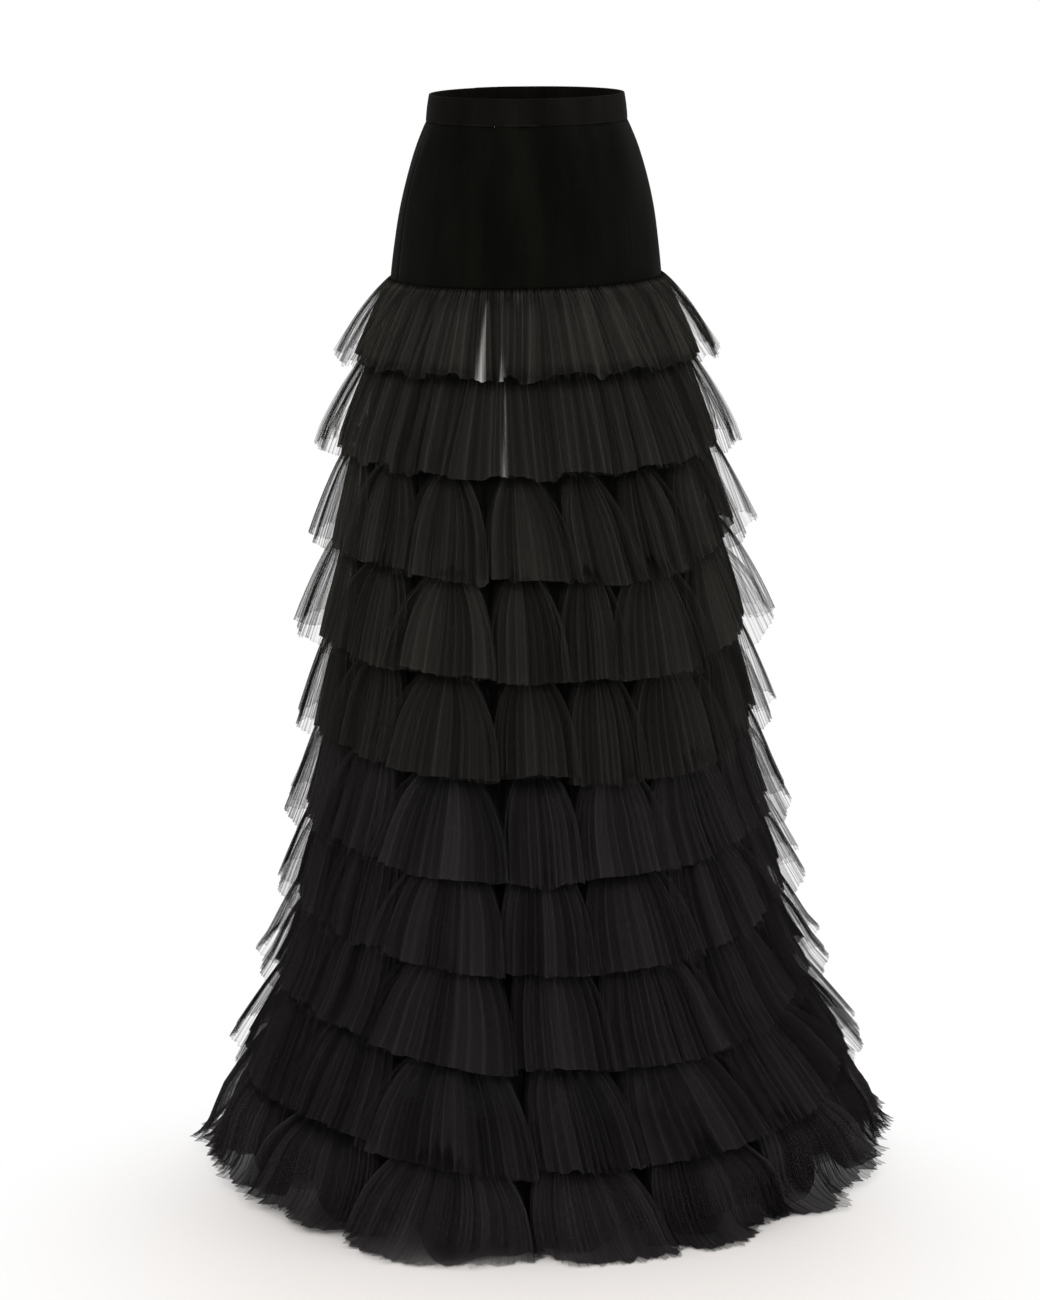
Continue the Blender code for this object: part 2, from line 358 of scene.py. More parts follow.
def fanned(shares, hem_across, hem_height, head, drop):
    """Flute, share of its cloth, share across, height above the valley and nearness to a fan's
    edge, for each column of a fluted ruffle."""
    starts = flute_bounds(FLOOR)[0]
    ends = np.append(starts - starts[0], 360.0) / 360.0
    flute = np.clip(np.searchsorted(ends, shares, side="right") - 1, 0, len(FLUTES) - 1)
    within = (shares - ends[flute]) / (ends[flute + 1] - ends[flute])
    width, haste = head
    side = 0.5 - width / 2.0
    head_knots = (
        0.0, 0.6 * side, side, side + 0.24 * width, 0.5,
        1.0 - side - 0.24 * width, 1.0 - side, 1.0 - 0.6 * side, 1.0,
    )
    head_across = np.interp(within, PLEAT_KNOTS, head_knots)
    head_height = flute_rise(head_across)
    across = np.empty_like(within)
    height = np.empty_like(within)
    for index in range(len(FLUTES)):
        here = flute == index
        across[here] = np.interp(within[here], PLEAT_KNOTS, hem_across[index])
        height[here] = np.interp(within[here], PLEAT_KNOTS, hem_height[index])
    opened = 1.0 - (1.0 - max(drop - FAN_START, 0.0) / (1.0 - FAN_START)) ** haste
    from_tip = np.minimum(np.abs(within - PLEAT_KNOTS[2]), np.abs(within - PLEAT_KNOTS[-3]))
    edge = np.exp(-((from_tip / 0.018) ** 2))
    return flute, within, mix(head_across, across, opened), mix(head_height, height, opened), edge


def even_ring(shares, fallen, twist, start):
    """Angles, height above the valleys and wave of a ring of points in an even ruffle."""
    angles = 360.0 * shares - 90.0
    turn = np.radians(angles)
    rise = (1.0 + np.cos(SMALL_WAVES * turn)) / 2.0
    rise = mix(rise, 0.5 + 0.5 * np.sin(11 * turn + twist[0]), 0.35)
    lean = 0.8 * np.sin(7 * turn + twist[1]) + 0.42 * np.sin(13 * turn + twist[2])
    lean = lean + 0.22 * np.sin(31 * turn + twist[4]) + 1.7 * np.sin(turn + math.radians(23.0))
    wave = 0.5 + 0.5 * np.sin(47 * turn + 3.0 * np.sin(5 * turn + twist[5]) + start)
    return angles + 2.4 * fallen * lean, rise, wave


def rounded(rings):
    """Rings of points with the corners between each fan's front and its sides rounded."""
    smooth = np.stack(rings)
    for _ in range(3):
        ring = smooth[:, :-1]
        ring = (np.roll(ring, 1, axis=1) + 2.0 * ring + np.roll(ring, -1, axis=1)) / 4.0
        smooth = np.concatenate((ring, ring[:, :1]), axis=1)
    return smooth[:, :-1]


def facing(rings):
    """Direction out of the cloth at every point of its rings."""
    along = np.roll(rings, -2, axis=1) - np.roll(rings, 2, axis=1)
    outward = np.cross(along, np.gradient(rings, axis=0))
    return outward / np.linalg.norm(outward, axis=-1, keepdims=True)


def lie_on_floor(ring, outward, fallen, splay):
    """Sinks a ring of the last ruffle's points to the floor and lets its pleats trail outwards."""
    sink = 0.65 * np.clip((fallen - 0.55) / 0.45, 0.0, 1.0) ** 1.5
    ring[:, 2] = mix(ring[:, 2], cad_box[0][2] + HEM_REST, sink)
    trail = np.clip((fallen - 0.80) / 0.20, 0.0, 1.0) ** 2
    plan = outward[:, :2] / np.linalg.norm(outward[:, :2], axis=-1)[:, None]
    ring[:, :2] += plan * (TRAIL * trail * splay)[:, None]
    ring[:, 2] = np.maximum(ring[:, 2], cad_box[0][2] + HEM_LEAST)


def parting_light_mark(number, drops, turned):
    """Brightness of the painted light at the places where two pleats part, at every point of a ruffle's
    outer layer.
    """
    parting_light = np.zeros((len(drops), len(turned[0])))
    for ruffle, angle, width, start, bright in PARTED_PLEATS:
        if ruffle != number:
            continue
        for row, drop in enumerate(drops):
            open_share = min(max((drop - start) / (1.0 - start), 0.0), 1.0)
            from_middle = (turned[row] - angle) / (width * (0.35 + 0.65 * open_share))
            light = bright * open_share ** 0.4 * np.exp(-(from_middle ** 2))
            parting_light[row] = np.maximum(parting_light[row], light)
    return parting_light


def pleated_layer(number, layer, finish):
    """One layer of a row of fine set pleats, gathered at its top and opening into fans at its hem."""
    name, flare_share, pleat_share, depth_share, longer_by, longer_each = layer
    longer_by = longer_by + longer_each * number
    stitching, hem, crest_flare, valley_flare, lift, hem_rise, pleats = RUFFLES[number]
    if number == 0:
        hem -= FIRST_RUFFLE_DROP
    outer = layer is OUTER_LAYER
    even = number < EVEN_RUFFLES
    floor_row = number == len(RUFFLES) - 1
    # The fans' own ways are shared by both layers, the pleats' ways are not
    random = np.random.default_rng(FAN_SEED + number)
    reaches = FLUTES[:, 2] * random.uniform(0.90, 1.08, len(FLUTES))
    lengths = random.uniform(-0.0045, 0.0065, len(FLUTES))
    skews = random.uniform(-0.06, 0.06, len(FLUTES))
    curls = random.uniform(-0.10, 0.10, len(FLUTES))
    twist = random.uniform(0.0, 2.0 * math.pi, 6)
    turns = random.uniform(-3.0, 3.0, len(FLUTES))
    slants = random.uniform(-2.5, 2.5, len(FLUTES))
    if not even:
        turns[2:7] = HEM_TURNS[number - EVEN_RUFFLES]
    slants[:7] = FLOOR_SLANTS
    random = np.random.default_rng((PLEAT_SEED if outer else UNDER_PLEAT_SEED) + number)
    waves = random.uniform(1.6, 3.4, len(FLUTES))
    starts = random.uniform(0.0, 2.0 * math.pi, len(FLUTES))
    pleats = round(pleats * pleat_share)
    columns = 2 * pleats
    shares = np.repeat(uneven(random, pleats), 2)[:-1]
    shares[1::2] = (shares[0:-1:2] + shares[2::2]) / 2.0
    hem_across, hem_height = fan_hem()
    stitching_rise = section(FOUNDATION_SECTIONS, stitching)[-1]
    bundle = np.zeros(pleats)
    at = 0
    while at < pleats:
        bundle[at] = random.uniform(0.4, 1.0)
        at += int(random.integers(3, 8))
    fold = np.clip(random.normal(1.0, 0.22, pleats), 0.5, 1.6)
    jag = random.normal(0.0, 0.0011, pleats) + 0.0016 * np.sin(
        np.arange(pleats) * 2.0 * math.pi * 17 / pleats + number
    )
    headings = np.clip(random.normal(0.006, 0.0017, pleats), 0.002, 0.010)
    splay = np.clip(random.normal(0.5, 0.35, pleats), 0.0, 1.3)
    least = 0.0 if number == 0 or not outer else RUFFLE_ROWS[0]
    drops = [drop for drop in RUFFLE_ROWS if drop >= least][::-1]
    if floor_row:
        drops = [1.0, 0.975] + drops[1:]
    rings = []
    crests = []
    fronts = []
    edges = []
    folds = []
    turned = []
    for drop in drops:
        fallen = max(drop, 0.0)
        height = mix(stitching, hem, fallen * (1.0 + longer_by))
        half_width, half_depth, depth, sway, _ = section(FOUNDATION_SECTIONS, height)
        if even:
            angles, rise, wave = even_ring(shares, fallen, twist, starts[0])
            reach = 1.0
            depth = 0.0
            puffed = fallen ** 0.8
            edge = np.zeros_like(angles)
            crest = 0.75 + 0.25 * rise
            # In the even ruffles the finish darkens the troughs of the small waves with painted shade
            front = 0.8 + 0.2 * rise
        else:
            flute, within, across, rise, edge = fanned(
                shares, hem_across, hem_height, FAN_HEADS[number - EVEN_RUFFLES], fallen
            )
            before, after = flute_bounds(height)
            turned_by = fallen ** 0.7
            before = before + turns * turned_by
            after = after + np.roll(turns, -1) * turned_by
            bulge = np.clip(1.0 - (2.0 * across - 1.0) ** 2, 0.0, 1.0)
            across = across + bulge * (skews[flute] * turned_by + curls[flute] * fallen * (1.0 - fallen))
            angles = before[flute] + (after - before)[flute] * across
            reach = reaches[flute]
            puffed = fallen ** 0.62
            crest = rise
            # Nearness to a fan's front; the finish darkens the rest of the flute, the valleys, with painted
            # shade
            front = np.clip((np.minimum(within, 1.0 - within) - 0.105) / 0.04, 0.0, 1.0)
            if floor_row:
                angles = angles + slants[flute] * front * np.clip(fallen * 2.0 - 1.0, 0.0, 1.0) ** 1.5
            wave = 0.5 + 0.5 * np.sin(2.0 * math.pi * waves[flute] * within + starts[flute])
        flare = mix(valley_flare * fallen, crest_flare * reach * puffed, rise) * flare_share
        if even:
            flare = flare + RUFFLE_BELLY * 4.0 * fallen * (1.0 - fallen) * flare_share
        if floor_row:
            table = np.array(FLOOR_REACH)
            reached = np.interp(angles, table[:, 0], table[:, 1]) - FLOOR_STEP * (1.0 - flare_share)
            flare = mix(flare, mix(valley_flare * 0.3, reached, rise), np.clip(fallen * 2.0 - 1.0, 0.0, 1.0))
        out = RUFFLE_GAP + TULLE_WALL / 2.0 + flare - depth * (1.0 - rise)
        if not even:
            clear = fallen * (OUTER_CLEARANCE if outer else UNDER_CLEARANCE)
            out = np.maximum(out, clear - depth * (1.0 - plain_rise(angles, height)))
        x, y = oval(angles, half_width, half_depth, out, sway)
        z = height + lift * rise * fallen + hang(angles, mix(stitching_rise, hem_rise, fallen))
        z = z + 0.001 * max(-drop, 0.0) / -RUFFLE_ROWS[0]
        if not even:
            longer = LOW_HEM[2] * np.exp(-(((angles - LOW_HEM[0]) / LOW_HEM[1]) ** 2))
            shorter = HIGH_HEM[2] * np.exp(-(((angles - HIGH_HEM[0]) / HIGH_HEM[1]) ** 2))
            z = z - fallen * (longer - shorter + lengths[flute] * rise)
        rings.append(np.stack((x, y, z), axis=-1))
        turned.append(angles)
        crests.append(crest)
        fronts.append(front)
        edges.append(edge)
        folds.append(wave)
    rings = rounded(rings)
    outward = facing(rings)
    pleat = np.arange(columns) // 2
    ridge = np.arange(columns) % 2 == 0
    for row, drop in enumerate(drops):
        fallen = max(drop, 0.0)
        above = max(-drop, 0.0) / -RUFFLE_ROWS[0]
        deep = mix(FOLD_AT_STITCHING, FOLD_AT_HEM, fallen) * fold[pleat] * mix(1.0, depth_share, fallen)
        moved = np.where(ridge, deep, -deep * (1.0 + 1.1 * bundle[pleat]))
        on_crest = np.clip(crests[row][:-1] * 5.0 - 4.0, 0.0, 1.0)
        moved = moved + FAN_WAVE * fallen * (folds[row][:-1] - 0.5) * on_crest
        rings[row] += outward[row] * (moved * (1.0 + 0.5 * above))[:, None]
        if above:
            rings[row, :, 2] += headings[pleat] * above
            rings[row] += outward[row] * (HEADING_LEAN * above * (0.4 + splay[pleat]))[:, None]
        frill = jag[pleat] * (1.8 if even else 1.0)
        rings[row, :, 2] += (frill + np.where(ridge, 0.0, 0.0007)) * fallen ** 4
        if floor_row:
            lie_on_floor(rings[row], outward[row], fallen, splay[pleat])
    points = np.concatenate((rings, rings[:, :1]), axis=1)
    # The front, wave and edge marks carry painted shade and painted light into the finish
    marks = {"front": np.stack(fronts), "edge": np.stack(edges), "wave": np.stack(folds)}
    if even and outer:
        marks["parting_light"] = parting_light_mark(number, drops, turned)
    if floor_row:
        place = np.exp(-(((turned[0] - THIN_PLACE[0]) / THIN_PLACE[1]) ** 2))
        marks["thin"] = place * np.clip(np.array(drops) * 3.0 - 2.0, 0.0, 1.0)[:, None]
    piece = cloth(f"{name}_{number + 1:02d}", points, True, finish, marks)
    bake_map(piece, columns, EVEN_STRIPS if even else FLUTED_STRIPS)
    piece.data.shade_flat()
    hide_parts(f"ruffle_{number + 1:02d}")
    return piece


def foundation(finish):
    """Plain tulle skirt under the ruffles, gathered into the yoke and falling into flutes."""
    random = np.random.default_rng(41)
    columns = 336
    shares = np.linspace(0.0, 1.0, columns + 1)
    top = FOUNDATION_SECTIONS[0][0]
    heights = np.concatenate((np.linspace(FLOOR, FLOOR + 0.06, 8), np.linspace(FLOOR + 0.08, top, 44)))
    starts = flute_bounds(FLOOR)[0]
    ends = (np.append(starts, starts[0] + 360.0) - starts[0]) / 360.0
    flute = np.clip(np.searchsorted(ends, shares, side="right") - 1, 0, len(FLUTES) - 1)
    within = (shares - ends[flute]) / (ends[flute + 1] - ends[flute])
    rise = ((1.0 - np.cos(2.0 * math.pi * within)) / 2.0) ** 1.3
    phases = random.uniform(0.0, 2.0 * math.pi, 5)
    rows = []
    for height in heights:
        half_width, half_depth, depth, sway, side_rise = section(FOUNDATION_SECTIONS, height)
        before, after = flute_bounds(height)
        angles = before[flute] + (after - before)[flute] * within
        turn = 2.0 * math.pi * shares
        gathers = 0.0005 * np.sin(84 * turn + phases[0]) + 0.0005 * np.sin(61 * turn + phases[1])
        trail = max(0.0, (FLOOR + 0.05 - height) / 0.05) ** 2
        patch = np.exp(-(((angles - THIN_PLACE[0]) / THIN_PLACE[1]) ** 2))
        ragged = 0.004 * np.sin(23 * turn + phases[2]) + 0.003 * np.sin(39 * turn + phases[3])
        out = -TULLE_WALL / 2.0 - depth * (1.0 - rise) + gathers
        out = out + trail * (0.034 * patch + ragged * patch) - 0.030 * (1.0 - patch) * trail
        x, y = oval(angles, half_width, half_depth, out, sway)
        z = height + hang(angles, side_rise)
        z = np.maximum(z, cad_box[0][2] + 0.0007) + trail * 0.0012 * (1.0 + np.sin(31 * turn))
        rows.append(np.stack((x, y, z), axis=-1))
    points = np.stack(rows)
    points[:, -1] = points[:, 0]
    piece = cloth("plain_skirt", points, True, finish)
    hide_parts("foundation_skirt")
    return piece


def yoke_panel(name, start, end, columns, finish, node):
    """Fitted velvet panel between two seams, with its wall's thickness and painted highlights along its seam
    and crease ridges.
    """
    rows = 48
    ridge_highlights = []
    heights = np.linspace(YOKE_BOTTOM, YOKE_SECTIONS[0][0], rows + 1)
    points = []
    for height in heights:
        half_width, half_depth = smooth_section(YOKE_SECTIONS, height)
        inset = math.degrees(YOKE_SEAM_GAP / 2.0 / half_depth)
        angles = np.linspace(start + inset, end - inset, columns + 1)
        turn = np.radians(angles)
        from_top = (heights[-1] - height) / (heights[-1] - heights[0])
        # Cloth rolls in towards every seam, and rides in soft upright creases under the band
        roll = np.minimum(np.abs(angles - start), np.abs(angles - end)) * half_width * math.pi / 180.0
        out = -0.0006 * np.exp(-roll / 0.0025)
        out -= 0.0006 * math.exp(-from_top / 0.02) + 0.0005 * math.exp(-(1.0 - from_top) / 0.02)
        out += 0.0005 * np.sin(17 * turn + 2.5 * np.sin(3 * turn)) * math.exp(-from_top / 0.25)
        out += 0.0004 * np.sin(9 * turn + 5.0 * from_top + 1.0)
        # A painted highlight along each seam near its top, and two creases at the wearer's left hip with a
        # painted highlight along them
        seam = np.exp(-((roll / 0.0028) ** 2)) * math.exp(-((from_top - 0.12) / 0.20) ** 2)
        crease = np.exp(-(((angles - 36.0 + 3.0 * from_top) / 0.7) ** 2))
        crease = crease + 0.7 * np.exp(-(((angles - 29.0 - 2.0 * from_top) / 0.9) ** 2))
        crease = crease * math.exp(-((from_top - 0.78) / 0.20) ** 2)
        out += 0.0005 * crease
        ridge_highlights.append(seam + 0.8 * crease)
        x, y = oval(angles, half_width, half_depth, out)
        points.append(np.stack((x, y, np.full_like(x, height)), axis=-1))
    piece = cloth(name, np.stack(points), False, finish, {"ridge": np.stack(ridge_highlights)})
    wall = piece.modifiers.new("wall", "SOLIDIFY")
    wall.thickness = VELVET_WALL
    wall.offset = -1.0
    wall.use_even_offset = True
    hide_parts(node)
    return piece


def waistband(finish):
    """Folded velvet band: a round-edged strip that laps over its own start at the centre back."""
    half_width = (BAND_TOP_WIDTH + BAND_BOTTOM_WIDTH) / 2.0
    lap = math.degrees(BAND_LAP / half_width)
    climb = math.degrees(BAND_LAP_RISE / half_width)
    sweep = 360.0 + lap
    columns = 220
    turned = np.linspace(0.0, sweep, columns + 1)
    risen = 360.0 - sweep / 60
    climbed = np.clip((turned - (risen - climb)) / climb, 0.0, 1.0)
    # Profile of the folded band, as shares down its height and inwards through its wall
    profile = (
        (0.97, 0.0), (0.75, -0.10), (0.5, -0.16), (0.25, -0.10), (0.04, 0.0), (0.008, 0.14),
        (0.0, 0.5), (0.008, 0.86), (0.04, 1.0), (0.5, 1.0), (0.97, 1.0), (0.993, 0.86),
        (1.0, 0.5), (0.993, 0.14), (0.97, 0.0),
    )
    rows = []
    for down, inward in profile:
        height = mix(BAND_TOP, BAND_BOTTOM, down)
        width = mix(BAND_TOP_WIDTH, BAND_BOTTOM_WIDTH, down)
        ripple = 0.0003 * np.sin(np.radians(turned) * 9 + 1.3) * math.sin(math.pi * down)
        out = climbed * (BAND_WALL + SEAM_GAP) - BAND_WALL * inward + ripple
        x, y = oval(180.0 + turned, width, width * BAND_DEPTH_RATIO, out)
        rows.append(np.stack((x, y, np.full_like(x, height)), axis=-1))
    mesh = bmesh.new()
    mesh.loops.layers.uv.new("cloth")
    bmesh.ops.create_grid(
        mesh, x_segments=columns, y_segments=len(profile) - 1, size=1.0, calc_uvs=True
    )
    for vertex, point in zip(mesh.verts, np.stack(rows).reshape(-1, 3)):
        vertex.co = point
    bmesh.ops.remove_doubles(mesh, verts=mesh.verts[:], dist=0.000001)
    bmesh.ops.holes_fill(mesh, edges=[edge for edge in mesh.edges if edge.is_boundary], sides=30)
    bmesh.ops.recalc_face_normals(mesh, faces=mesh.faces[:])
    data = bpy.data.meshes.new("waistband_velvet")
    mesh.to_mesh(data)
    mesh.free()
    data.materials.append(finish)
    data.shade_smooth()
    piece = bpy.data.objects.new("band", data)
    bpy.context.collection.objects.link(piece)
    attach(piece, "root")
    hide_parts("waistband")
    return piece


class Strand:
    """A number that runs through a finish's nodes; arithmetic on it adds Math nodes."""

    def __init__(self, finish, socket):
        self.finish = finish
        self.socket = socket

    def math(self, operation, *values):
        made = self.finish.node("ShaderNodeMath", {"operation": operation}, dict(enumerate(values)))
        return Strand(self.finish, made.outputs[0])

    def __add__(self, other):
        return self.math("ADD", self, other)

    def __sub__(self, other):
        return self.math("SUBTRACT", self, other)

    def __rsub__(self, other):
        return self.math("SUBTRACT", other, self)

    def __mul__(self, other):
        return self.math("MULTIPLY", self, other)

    __radd__ = __add__
    __rmul__ = __mul__

    def fraction(self):
        return self.math("FRACT", self)

    def whole(self):
        return self.math("FLOOR", self)

    def size(self):
        return self.math("ABSOLUTE", self)

    def between(self, low, high):
        """0 below low, 1 above high, eased in between."""
        made = self.finish.node(
            "ShaderNodeMapRange",
            {"interpolation_type": "SMOOTHSTEP"},
            {"Value": self, "From Min": low, "From Max": high},
        )
        return Strand(self.finish, made.outputs[0])


class Finish:
    """Procedural cloth finish: one Principled shader and the nodes that feed it."""

    def __init__(self, name, roughness, specular, sheen=0.0, sheen_roughness=0.5, tint=(1, 1, 1)):
        self.material = bpy.data.materials.new(name)
        self.material.use_nodes = True
        self.nodes = self.material.node_tree.nodes
        self.links = self.material.node_tree.links
        self.shader = self.nodes["Principled BSDF"]
        self.set("Roughness", roughness)
        self.set("Specular IOR Level", specular)
        self.set("Sheen Weight", sheen)
        self.set("Sheen Roughness", sheen_roughness)
        self.set("Sheen Tint", (*tint, 1.0))

    def node(self, kind, settings=None, inputs=None):
        made = self.nodes.new(kind)
        for setting, value in (settings or {}).items():
            setattr(made, setting, value)
        for socket, value in (inputs or {}).items():
            self.feed(made.inputs[socket], value)
        return made

    def feed(self, socket, value):
        value = getattr(value, "socket", value)
        if isinstance(value, bpy.types.NodeSocket):
            self.links.new(value, socket)
        elif isinstance(value, tuple) and socket.type == "RGBA" and len(value) == 3:
            socket.default_value = (*value, 1.0)
        else:
            socket.default_value = value

    def set(self, socket, value):
        self.feed(self.shader.inputs[socket], value)

    def place(self, stretch=(1.0, 1.0, 1.0)):
        """Object coordinates, stretched."""
        here = self.node("ShaderNodeTexCoord").outputs["Object"]
        return self.node("ShaderNodeMapping", None, {"Vector": here, "Scale": stretch}).outputs[0]

    def noise(self, scale, stretch=(1.0, 1.0, 1.0), detail=3.0, rough=0.5):
        made = self.node(
            "ShaderNodeTexNoise",
            None,
            {"Vector": self.place(stretch), "Scale": scale, "Detail": detail, "Roughness": rough},
        )
        return Strand(self, made.outputs[0])

    def weave(self):
        """Shares along and up the cloth."""
        here = self.node("ShaderNodeUVMap", {"uv_map": "cloth"}).outputs[0]
        parts = self.node("ShaderNodeSeparateXYZ", None, {0: here})
        return Strand(self, parts.outputs[0]), Strand(self, parts.outputs[1])

    def mark(self, name):
        """A number kept at the cloth's points."""
        return Strand(self, self.node("ShaderNodeAttribute", {"attribute_name": name}).outputs["Fac"])

    def blend(self, share, first, second):
        made = self.node(
            "ShaderNodeMix", {"data_type": "RGBA"}, {"Factor": share, 6: first, 7: second}
        )
        return made.outputs[2]

    def bump(self, height, strength, distance):
        made = self.node(
            "ShaderNodeBump", None, {"Height": height, "Strength": strength, "Distance": distance}
        )
        self.set("Normal", made.outputs[0])


TULLE_BLACK = (0.0012, 0.0012, 0.0012)
PLAIN_TULLE_LIGHT = (0.0045, 0.0042, 0.0044)
# Painted light that shows where two pleats part
PARTED_LIGHT = (0.42, 0.41, 0.39)


def velvet(name, dark, light, seam=None):
    """Short-pile velvet: upright nap streaks, rubbed patches and a fine pile."""
    finish = Finish(name, 0.9, 0.05, 0.008, 0.4)
    streaks = finish.noise(26.0, (1.0, 1.0, 0.16), 4.0, 0.6)
    patches = finish.noise(9.0, (1.0, 1.0, 0.5), 2.0)
    pile = finish.noise(1500.0, (1.0, 1.0, 1.0), 1.0)
    share = streaks.between(0.35, 0.75) * 0.65 + patches.between(0.35, 0.7) * 0.35
    # The ridge mark adds a painted highlight along the yoke's seams and creases
    share = share * (0.7 + pile * 0.6) + finish.mark("ridge") * 0.9
    if seam is not None:
        place = finish.node("ShaderNodeSeparateXYZ", None, {0: finish.place()}).outputs[2]
        line = (Strand(finish, place) - seam).size().between(0.0004, 0.0016)
        share = share + (1.0 - line) * finish.noise(30.0).between(0.4, 0.65) * 1.2
    finish.set("Base Color", finish.blend(share, dark, light))
    finish.bump(pile + streaks * 2.0, 0.35, 0.0006)
    return finish.material


def pleated_tulle(name, pleats, colour, sheer, folds, covered, painted_hem_shade=0.0, parts=False):
    """Sheer tulle in set pleats: thin folds that are dense with thread, clearer cloth between them.

    The cloth between the folds hides the share sheer of what is behind it, and a fold hides the
    share folds more. The valleys between fans and what lies above covered, where the ruffle above
    hangs over it, are darkened with painted shade, and broad waves get painted light on their crests
    and painted shade in their troughs. A fan's side folds get a painted highlight. A hem can be
    darkened with painted shade, and painted light can show where pleats part.
    """
    finish = Finish(name, 0.85, 0.02, 0.01, 0.4, (0.95, 0.9, 1.0))
    along, up = finish.weave()
    count = along * pleats
    fold = ((count + 0.5).fraction() - 0.5).size() * 2.0
    ridge = 1.0 - fold.between(0.04, 0.42)
    valley = fold.between(0.80, 1.0)
    own = finish.node(
        "ShaderNodeTexWhiteNoise", {"noise_dimensions": "1D"}, {"W": (count + 0.5).whole()}
    )
    own = Strand(finish, own.outputs[0])
    bunch = finish.node(
        "ShaderNodeTexNoise", {"noise_dimensions": "1D"}, {"W": count, "Scale": 0.31, "Detail": 2.0}
    )
    bunch = Strand(finish, bunch.outputs[0]).between(0.30, 0.72)
    cloud = finish.noise(16.0, (1.0, 1.0, 0.5), 1.0)
    front = finish.mark("front")
    edge = finish.mark("edge")
    wave = finish.mark("wave")
    thin = 1.0 - finish.mark("thin") * 0.65
    strength = 0.45 + own * 0.55
    # Painted shade: darker in the valleys between fans, where front is low, and up under the hem above, with
    # a painted shadow just below that hem
    shade = (0.22 + front * 0.78) * (0.22 + up.between(covered + 0.035, covered - 0.085) * 0.78)
    # The wave factor is painted light on the crests of the broad waves along a fan, and painted shade in
    # their troughs
    shade = shade * (0.70 + cloud * 0.60) * (0.72 + wave * 0.56) * (0.60 + bunch * 0.84)
    # The edge term is a painted highlight along a fan's side folds; its alpha below is denser thread there
    light = (0.60 + ridge * 0.34 * strength + edge * 0.22) * shade
    # Painted shade: a ragged dark band along the hem, standing for the shaded heading of the ruffle below
    # seen through it
    if painted_hem_shade:
        frill = finish.noise(120.0, (1.0, 1.0, 1.0), 1.0).between(0.3, 0.6) * 0.5 + 0.5
        light = light * (1.0 - up.between(0.20, 0.07) * frill * painted_hem_shade)
    cloth_colour = finish.blend(light, TULLE_BLACK, colour)
    # Painted light where two pleats part
    if parts:
        cloth_colour = finish.blend(finish.mark("parting_light"), cloth_colour, PARTED_LIGHT)
    finish.set("Base Color", cloth_colour)
    bundle = 0.60 + bunch * 0.80
    alpha = sheer + up.between(0.62, 0.98) * (0.85 - sheer)
    alpha = alpha + (ridge * strength + valley * 0.3) * folds * bundle
    alpha = (alpha + edge * 0.15 + up.between(0.03, 0.0) * 0.10) * thin
    if parts:
        alpha = alpha + finish.mark("parting_light") * 0.8
    alpha = alpha.math("MINIMUM", alpha, 0.98)
    finish.set("Alpha", alpha)
    return finish.material


def plain_tulle(name):
    """Plain sheer tulle, almost solid where it lies in layers and thin at the hem."""
    finish = Finish(name, 0.85, 0.02, 0.01, 0.4, (0.95, 0.9, 1.0))
    up = finish.weave()[1]
    threads = finish.noise(90.0, (1.0, 1.0, 0.12), 3.0)
    finish.set("Base Color", finish.blend(threads, TULLE_BLACK, PLAIN_TULLE_LIGHT))
    finish.set("Alpha", 0.5 + up.between(0.012, 0.04) * 0.45 + threads * 0.08)
    return finish.material


YOKE_BLACK = (0.0010, 0.0010, 0.0007)
YOKE_SHEEN = (0.0042, 0.0042, 0.0027)
BAND_BLACK = (0.0022, 0.0019, 0.0014)
BAND_SHEEN = (0.0080, 0.0070, 0.0055)

yoke_velvet = velvet("yoke_velvet", YOKE_BLACK, YOKE_SHEEN)
band_velvet = velvet("band_velvet", BAND_BLACK, BAND_SHEEN, BAND_BOTTOM + 0.0006)
band = waistband(band_velvet)
yoke = [
    yoke_panel("hip_yoke_front", -90.0, 90.0, 160, yoke_velvet, "yoke_front"),
    yoke_panel("hip_yoke_back_left", 90.0, 180.0, 80, yoke_velvet, "yoke_back_left"),
    yoke_panel("hip_yoke_back_right", 180.0, 270.0, 80, yoke_velvet, "yoke_back_right"),
]
plain = foundation(plain_tulle("plain_tulle"))

# Tint of the upper and of the lower ruffles, and brightness of each
WARM_BLACK = np.array((1.0, 0.946, 0.825))
COOL_BLACK = np.array((1.0, 0.883, 0.938))
LAST_WARM = 3.8
COOLING = 1.5
TULLE_LIGHT = 0.0265
BRIGHT = (1.50, 1.17, 1.11, 1.08, 0.96, 1.00, 0.90, 0.86, 0.80, 1.14)
